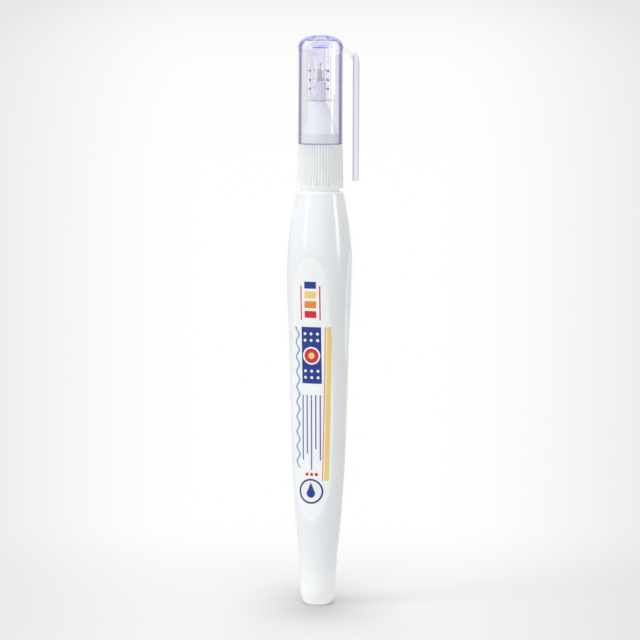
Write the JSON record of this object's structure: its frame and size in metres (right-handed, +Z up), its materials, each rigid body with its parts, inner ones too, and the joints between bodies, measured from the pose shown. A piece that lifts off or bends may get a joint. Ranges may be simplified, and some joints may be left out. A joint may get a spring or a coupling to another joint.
{
  "type": "correction pen",
  "caption": "Squeeze correction pen: tapered bottle with a shallow label panel, ribbed collar, spring-loaded needle valve in a metal tip, loose mixing ball and a clear cap with a pocket clip.",
  "frame": {"origin": "centre of the small flat foot under the tail of the bottle", "axes": "+Z up the pen's axis from the tail to the cap, -Y out of the front label panel, +X to the right as that panel is seen"},
  "size_m": [0.0176, 0.0159, 0.1404],
  "materials": {
    "white_bottle": "smooth blow-moulded polyethylene",
    "printed_film": "printed film",
    "white_moulding": "smooth injection moulding",
    "seal_plastic": "soft plastic ring",
    "nickel_tip": "turned and nickel plated",
    "steel": "drawn stainless wire",
    "clear_violet": "clear tinted polystyrene"
  },
  "bodies": {
    "pen": {"bottle": "white_bottle", "front_label": "printed_film", "nozzle": "white_moulding", "neck_seal": "seal_plastic", "metal_tip": "nickel_tip", "spring_retainer": "white_moulding", "valve_spring": "steel"},
    "needle": {"valve_needle": "steel", "valve_piston": "white_moulding"},
    "ball": {"mixing_ball": "steel"},
    "cap": {"cap_shell": "clear_violet", "cap_liner": "clear_violet"}
  },
  "joints": [
    {"name": "needle_press", "type": "slide", "parent": "pen", "child": "needle", "axis": [0, 0, -1], "range_m": [0, 0.0006], "stiffness_N_per_m": 200, "springref_m": -0.001, "deforming": ["valve_spring"]},
    {"name": "ball_rattle", "type": "slide", "parent": "pen", "child": "ball", "axis": [0, 0, 1], "range_m": [0, 0.0985]},
    {"name": "cap_pull", "type": "slide", "parent": "pen", "child": "cap", "axis": [0, 0, 1], "range_m": [0, 0.035]}
  ]
}
